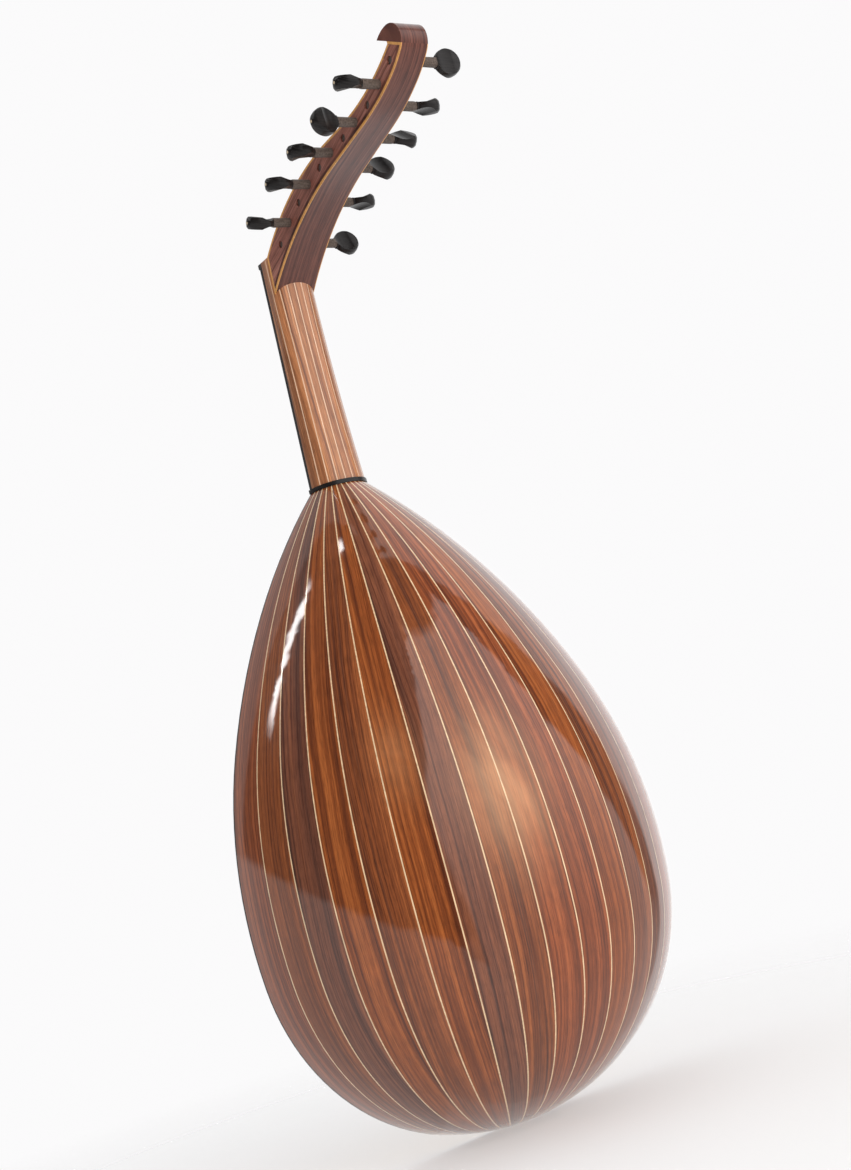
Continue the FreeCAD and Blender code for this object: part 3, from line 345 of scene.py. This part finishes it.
def paint_peg(name, joint):
    """Satin ebony, rubbed grey-brown on the shaft, with a pale dot at the end."""
    centre = Vector(joint["pos_m"])
    low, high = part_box(name)
    side = 1 if abs(high.x) > abs(low.x) else -1
    paint = Paint(f"ebony_{name}")
    rise = paint.math("SUBTRACT", paint.dot((0, 0, 1)), centre.z)
    reach = paint.math("SUBTRACT", paint.dot((0, 1, 0)), centre.y)
    radius = paint.math("SQRT", paint.math("ADD", paint.math("MULTIPLY", rise, rise),
                                           paint.math("MULTIPLY", reach, reach)))
    out = paint.dot((side, 0, 0))
    end = max(abs(low.x), abs(high.x))
    across = paint.math("ADD", rise, reach)
    colour, fibre = grain(paint, across, out, EBONY, centre.y * 100, 500, 1500, 0.0)
    mottle = paint.noise(paint.place, 900, 3, 0.6)
    worn = paint.ramp(mottle, (0.34, (0.070, 0.053, 0.045)), (0.52, (0.125, 0.095, 0.080)),
                      (0.74, (0.190, 0.150, 0.128)))
    shaft = paint.math("LESS_THAN", out, end - PEG_HEAD)
    colour = paint.mix(paint.math("MULTIPLY", shaft, 0.8), colour, worn)
    dot = paint.math("MULTIPLY", paint.math("GREATER_THAN", out, end - 0.6 * MM),
                     paint.math("LESS_THAN", radius, 1.1 * MM))
    colour = paint.mix(dot, colour, (0.55, 0.44, 0.30))
    rough = paint.math("ADD", 0.36, paint.math("MULTIPLY", shaft, 0.2))
    relief = paint.bump(fibre, 0.3, 0.08 * MM)
    paint.set(Base_Color=colour, Roughness=rough, Specular_IOR_Level=0.22, Normal=relief)
    dress(name, paint.gloss(0.25, 0.12))


def paint_pegs():
    for body, joint in sorted(JOINTS.items()):
        paint_peg(body.removesuffix("_body"), joint)


# ---------------------------------------------------------------- front

def paint_front():
    """Spruce soundboard, rosettes, guard, bridge, bone nut, inner woods and rib lines."""
    spruce = Paint("spruce_top")
    across = spruce.math("ABSOLUTE", spruce.dot((1, 0, 0)))
    wobble = spruce.math("MULTIPLY", spruce.noise(spruce.join(0.0, spruce.dot((0, 0, 3))), 1, 2), 0.004)
    rings = spruce.noise(spruce.join(spruce.math("MULTIPLY", spruce.math("ADD", across, wobble), 620),
                                     spruce.dot((0, 0, 0.8))), 1, 2)
    colour = spruce.ramp(rings, (0.36, (0.50, 0.28, 0.115)), (0.50, (0.70, 0.45, 0.22)),
                         (0.66, (0.76, 0.52, 0.28)))
    silk = spruce.noise(spruce.join(spruce.dot((60, 0, 0)), spruce.dot((0, 0, 160))), 1, 2)
    colour = spruce.mix(0.16, colour, spruce.ramp(silk, (0.35, 0.6), (0.65, 1.0)), "MULTIPLY")
    relief = spruce.bump(rings, 0.2, 0.08 * MM)
    spruce.set(Base_Color=colour, Roughness=0.46, Normal=relief).gloss(0.3, 0.25)
    dress("soundboard", spruce)
    for i, name in enumerate(("soundboard_braces", "neck_block", "tail_block")):
        dress(name, pale_wood(f"spruce_{name}", (0.72, 0.50, 0.29), 3.0 + i, 0.0))
    dress("joint_strips", pale_wood("joint_paper", (0.78, 0.72, 0.58), 8.0, 0.0))
    rosette = ((0.060, 0.028, 0.014), (0.150, 0.070, 0.034), (0.240, 0.120, 0.058))
    for i, name in enumerate(("rosette_large", "rosette_left", "rosette_right")):
        dress(name, dark_wood(f"walnut_{name}", rosette, (0, 0, 1), 0.3, 0.4, 11.0 + i))
    dress("pick_guard", dark_wood("guard_veneer", ROSEWOOD, (0, 0, 1), 0.5, 0.32, 15.0))
    dress("bridge", dark_wood("bridge_walnut", rosette, (1, 0, 0), 0.35, 0.38, 16.0))
    paint_nut()
    dress("rib_lines", pale_wood("line_maple", (0.84, 0.60, 0.36), 1.0))


def paint_nut():
    """Bone between the strings, with dark ends beside the fingerboard's edges."""
    paint = Paint("nut_bone")
    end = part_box("nut")[1].x - 2.2 * MM
    dark = paint.math("GREATER_THAN", paint.math("ABSOLUTE", paint.dot((1, 0, 0))), end)
    streak = paint.noise(paint.join(paint.dot((0, 300, 0)), paint.dot((40, 0, 300))), 1, 3)
    bone = paint.ramp(streak, (0.35, (0.66, 0.58, 0.42)), (0.65, (0.84, 0.76, 0.58)))
    paint.set(Base_Color=paint.mix(dark, bone, (0.016, 0.013, 0.012)), Roughness=0.38)
    dress("nut", paint.gloss(0.15, 0.3))


def wound(name, colour, metallic):
    """A string: fine windings that run round it."""
    paint = Paint(name)
    turns = paint.nodes.new("ShaderNodeTexWave")
    turns.bands_direction = "Z"
    turns.inputs["Scale"].default_value = 900
    paint.feed(turns.inputs["Vector"], paint.place)
    dull = tuple(0.6 * part for part in colour)
    tarnish = paint.ramp(paint.noise(paint.place, 160, 3), (0.35, dull), (0.65, colour))
    return paint.set(Base_Color=tarnish, Metallic=metallic, Roughness=0.33,
                     Normal=paint.bump(turns.outputs["Fac"], 0.35, 0.08 * MM))


def paint_strings():
    silver = wound("wound_string", (0.62, 0.58, 0.52), 0.9)
    nylon = wound("nylon_string", (0.80, 0.77, 0.70), 0.0)
    for name in NODES:
        if name.startswith("string"):
            dress(name, nylon if name in ("strings_course_5", "strings_course_6") else silver)
    return silver, nylon


# ---------------------------------------------------------------- added pieces

def tube(name, points, radius, paint, body, sides=10):
    """A round tube along points, closed at both ends, that rides on a body."""
    verts, faces = [], []
    side = Vector((0, 0, 1))
    for i, point in enumerate(points):
        ahead = (points[min(i + 1, len(points) - 1)] - points[max(i - 1, 0)]).normalized()
        side = (side - ahead * side.dot(ahead)).normalized()
        other = ahead.cross(side)
        for k in range(sides):
            turn = 2 * math.pi * k / sides
            verts.append(point + (side * math.cos(turn) + other * math.sin(turn)) * radius)
    for i in range(len(points) - 1):
        for k in range(sides):
            a, b = i * sides + k, i * sides + (k + 1) % sides
            faces.append((a, b, b + sides, a + sides))
    faces.append(tuple(range(sides - 1, -1, -1)))
    faces.append(tuple((len(points) - 1) * sides + k for k in range(sides)))
    mesh = bpy.data.meshes.new(name)
    mesh.from_pydata(verts, [], faces)
    mesh.materials.append(paint.material)
    for polygon in mesh.polygons:
        polygon.use_smooth = True
    thing = bpy.data.objects.new(name, mesh)
    bpy.context.scene.collection.objects.link(thing)
    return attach(thing, body)


def string_points():
    return [vertex.co.copy() for name, node in NODES.items() if name.startswith("string")
            for vertex in node.data.vertices]


WINDING_TURNS = 4
STEPS = 20               # straight runs in one turn of string


def wind_strings(paint):
    """The turns of string round each peg, from where its string comes in."""
    points = string_points()
    for body, joint in sorted(JOINTS.items()):
        centre = Vector(joint["pos_m"])
        near = [p for p in points if abs(p.y - centre.y) < 0.8 * MM and p.z > centre.z]
        lowest = min(p.z for p in near)
        ends = [p.x for p in near if p.z < lowest + 0.7 * MM]
        entry = sum(ends) / len(ends)
        side = 1 if "left" in body else -1
        reach = PEG_RADIUS + WIRE
        path = []
        for step in range(WINDING_TURNS * STEPS + 1):
            turn = 2 * math.pi * step / STEPS
            x = entry - side * (2.4 + turn / math.pi) * WIRE
            y, z = centre.y + reach * math.sin(turn), centre.z + reach * math.cos(turn)
            path.append(Vector((x, y, z)))
        tube(body.removesuffix("_body") + "_winding", path, WIRE, paint, body)


def tie_strings(paint):
    """Each string comes out of the bridge's tail side and ties over its top."""
    low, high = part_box("bridge")
    hole = -8.8 * MM
    front = low.y - 0.5 * MM
    points = [p for p in string_points() if p.z < high.z + 2 * MM]
    lanes = []
    for x in sorted(p.x for p in points):
        if not lanes or x - lanes[-1][-1] > 2.0 * MM:
            lanes.append([x])
        else:
            lanes[-1].append(x)
    for i, lane in enumerate(lanes):
        x = (lane[0] + lane[-1]) / 2
        path = [Vector((x, hole, high.z + 1.5 * MM)),
                Vector((x + 0.5 * MM, hole - 2.2 * MM, high.z - 1.0 * MM)),
                Vector((x + 0.8 * MM, front, high.z - 5.5 * MM)),
                Vector((x + 0.5 * MM, front, low.z + 4.5 * MM)),
                Vector((x, hole - 1.0 * MM, low.z + 0.5 * MM)),
                Vector((x, hole, low.z + 1.5 * MM))]
        tube(f"bridge_tie_{i + 1}", round_path(path), WIRE, paint, ROOT)


def round_path(points, rounds=2):
    """Cut the corners of a path until it bends softly."""
    for _ in range(rounds):
        cut = [points[0]]
        for here, there in zip(points, points[1:]):
            cut += [here.lerp(there, 0.25), here.lerp(there, 0.75)]
        points = cut + [points[-1]]
    return points


# ---------------------------------------------------------------- studio

CAMERA_PLACE = Vector((0.7587, 1.1325, 0.2373))
CAMERA_LOOK = Vector((-0.5808, -0.8025, 0.1367)).normalized()
CAMERA_TOP = Vector((-0.1379, 0.2625, 0.9550))
LENS = 52.03
BOWL_MIDDLE = Vector((0, 0.08, 0.3))


def camera_axes():
    """The camera's right, up and back directions."""
    right = CAMERA_LOOK.cross(CAMERA_TOP).normalized()
    return right, right.cross(CAMERA_LOOK), -CAMERA_LOOK


def from_camera(direction):
    """A direction given on the camera's right, up and ahead, as a unit vector in the frame."""
    right, up, back = camera_axes()
    return (right * direction[0] + up * direction[1] - back * direction[2]).normalized()


def aim_camera():
    right, up, back = camera_axes()
    data = bpy.data.cameras.new("camera")
    data.lens, data.sensor_width = LENS, 36
    camera = bpy.data.objects.new("camera", data)
    turned = Matrix((right, up, back)).transposed().to_4x4()
    camera.matrix_world = Matrix.Translation(CAMERA_PLACE) @ turned
    bpy.context.scene.collection.objects.link(camera)
    bpy.context.scene.camera = camera
    bpy.context.scene.view_settings.view_transform = "Standard"


class Sky:
    """Nodes of the world: what a ray sees in each direction about the camera's upright axis."""

    def __init__(self):
        self.world = bpy.data.worlds.new("studio")
        self.world.use_nodes = True
        self.nodes = self.world.node_tree.nodes
        self.links = self.world.node_tree.links
        self.ray = self.nodes.new("ShaderNodeNewGeometry").outputs["Incoming"]

    def math(self, operation, *values):
        node = self.nodes.new("ShaderNodeMath")
        node.operation = operation
        for socket, value in zip(node.inputs, values):
            if isinstance(value, bpy.types.NodeSocket):
                self.links.new(value, socket)
            else:
                socket.default_value = value
        return node.outputs[0]

    def along(self, direction):
        node = self.nodes.new("ShaderNodeVectorMath")
        node.operation = "DOT_PRODUCT"
        self.links.new(self.ray, node.inputs[0])
        node.inputs[1].default_value = -direction
        return node.outputs["Value"]

    def rise(self, value, edge, soft=2.0):
        """0 below an edge and 1 above it, over a soft width in degrees."""
        node = self.nodes.new("ShaderNodeMapRange")
        node.interpolation_type = "SMOOTHSTEP"
        self.links.new(self.math("SUBTRACT", value, edge), node.inputs["Value"])
        node.inputs["From Min"].default_value = math.radians(-soft)
        node.inputs["From Max"].default_value = math.radians(soft)
        return node.outputs["Result"]

    def window(self, value, low, high, soft=2.0):
        """1 between two edges and 0 outside them."""
        return self.math("MULTIPLY", self.rise(value, low, soft), self.fall(value, high, soft))

    def fall(self, value, edge, soft=2.0):
        return self.math("SUBTRACT", 1, self.rise(value, edge, soft))


# Strengths of the world: the unlit room, the bright strips, the light on the wood, the backdrop.
ROOM_LIGHT = 0.05
STRIP_LIGHT = 16
FILL_LIGHT = 0.80
BACKDROP = 0.965


def light_the_room():
    """Near-white for the eye. In reflections: a white sweep ahead and below, a large soft window on the
    right, two narrow bright strips on the left, and a dark room behind the camera."""
    sky = Sky()
    bpy.context.scene.world = sky.world
    right, up, back = camera_axes()
    turn = sky.math("ARCTAN2", sky.along(right), sky.along(back))
    height = sky.math("ARCSINE", sky.along(up))
    degree = math.radians(1)

    def below(level, share):
        """How far a ray points below a level, scaled."""
        drop = sky.math("SUBTRACT", level * degree, height)
        return sky.math("MULTIPLY", sky.math("MAXIMUM", drop, 0), share)

    right_sweep = sky.rise(sky.math("SUBTRACT", turn, below(60, 0.25)), 116 * degree, 2.0)
    left_sweep = sky.rise(sky.math("MULTIPLY", turn, -1), 112 * degree, 2.0)
    sweeps = sky.math("MAXIMUM", sky.math("MULTIPLY", left_sweep, 0.50),
                      sky.math("MULTIPLY", right_sweep, 1.15))

    rightward = sky.math("MINIMUM", sky.math("MAXIMUM", turn, 0), 30 * degree)
    edge = sky.math("MULTIPLY", rightward, 0.6)
    floor = sky.rise(sky.math("SUBTRACT", sky.math("MULTIPLY", height, -1), edge), 7 * degree, 1.2)
    white = sky.math("MAXIMUM", sweeps, sky.math("MULTIPLY", floor, 0.85))

    pane = sky.math("MULTIPLY", sky.rise(sky.math("SUBTRACT", turn, below(25, 0.45)), 0.0, 1.5),
                    sky.fall(sky.math("SUBTRACT", turn, below(40, 0.6)), 95 * degree, 1.5))
    pane = sky.math("MULTIPLY", pane, sky.window(height, -35 * degree, 72 * degree, 1.5))
    glow = sky.math("ADD", 0.75, sky.rise(height, 18 * degree, 26.0))
    strip = sky.math("MULTIPLY", sky.window(turn, -100.5 * degree, -96.5 * degree, 1.2),
                     sky.window(height, 19 * degree, 45 * degree, 3.0))
    spot = sky.math("MULTIPLY", sky.window(turn, -101 * degree, -92 * degree, 2.0),
                    sky.window(height, 66 * degree, 69 * degree, 1.0))

    lit = sky.math("MAXIMUM", white, sky.math("MULTIPLY", pane, glow))
    shine = sky.math("ADD", sky.math("MAXIMUM", lit, ROOM_LIGHT),
                     sky.math("MULTIPLY", sky.math("ADD", strip, spot), STRIP_LIGHT))

    path = sky.nodes.new("ShaderNodeLightPath").outputs
    soft = sky.math("MULTIPLY", path["Is Diffuse Ray"], FILL_LIGHT)
    seen = sky.math("MULTIPLY", path["Is Camera Ray"], BACKDROP)
    shiny = sky.math("MULTIPLY", path["Is Glossy Ray"], shine)
    background = sky.nodes["Background"]
    sky.links.new(sky.math("ADD", sky.math("ADD", soft, seen), shiny), background.inputs["Strength"])
    background.inputs["Color"].default_value = (1.0, 0.995, 1.0, 1)


def panel(name, direction, distance, width, height, radiance, colour):
    """A soft light that faces the bowl from a direction given on the camera's right, up and ahead."""
    way = from_camera(direction)
    data = bpy.data.lights.new(name, "AREA")
    data.shape = "RECTANGLE"
    data.size, data.size_y = width, height
    data.energy = radiance * math.pi * width * height
    data.color = colour
    light = bpy.data.objects.new(name, data)
    light.location = BOWL_MIDDLE + way * distance
    light.rotation_euler = way.to_track_quat("Z", "Y").to_euler()
    light.visible_camera = False
    light.visible_glossy = False
    bpy.context.scene.collection.objects.link(light)


def lay_floor():
    """A pale round floor that fades into the backdrop."""
    mesh = bpy.data.meshes.new("floor")
    rings, spokes, reach = 6, 64, 2.4
    height = CAD_BOX[0][2] - 1.5 * MM
    verts = [Vector((0, 0, height))]
    for ring in range(rings):
        radius = reach * (ring + 1) / rings
        for k in range(spokes):
            turn = 2 * math.pi * k / spokes
            verts.append(Vector((radius * math.cos(turn), radius * math.sin(turn), height)))
    faces = [(0, 1 + k, 1 + (k + 1) % spokes) for k in range(spokes)]
    for ring in range(rings - 1):
        inner = 1 + ring * spokes
        outer = inner + spokes
        for k in range(spokes):
            after = (k + 1) % spokes
            faces.append((inner + k, outer + k, outer + after, inner + after))
    mesh.from_pydata(verts, [], faces)
    paint = Paint("floor_white")
    distance = paint.nodes.new("ShaderNodeVectorMath")
    distance.operation = "LENGTH"
    paint.feed(distance.inputs[0], paint.place)
    alpha = paint.ramp(paint.math("MULTIPLY", distance.outputs["Value"], 0.4), (0.06, 0.60), (0.34, 0.0))
    paint.set(Base_Color=(0.98, 0.975, 0.98), Roughness=0.8, Alpha=alpha)
    mesh.materials.append(paint.material)
    floor = bpy.data.objects.new("floor", mesh)
    bpy.context.scene.collection.objects.link(floor)


# ---------------------------------------------------------------- the scene

paint_ribs()
paint_front()
paint_neck()
paint_pegbox()
paint_ebony()
paint_pegs()
silver, nylon = paint_strings()
wind_strings(silver)
tie_strings(nylon)
aim_camera()
light_the_room()
panel("key", (0.55, 0.45, -0.80), 2.2, 1.1, 1.3, 6.5, (1.0, 0.93, 0.84))
lay_floor()
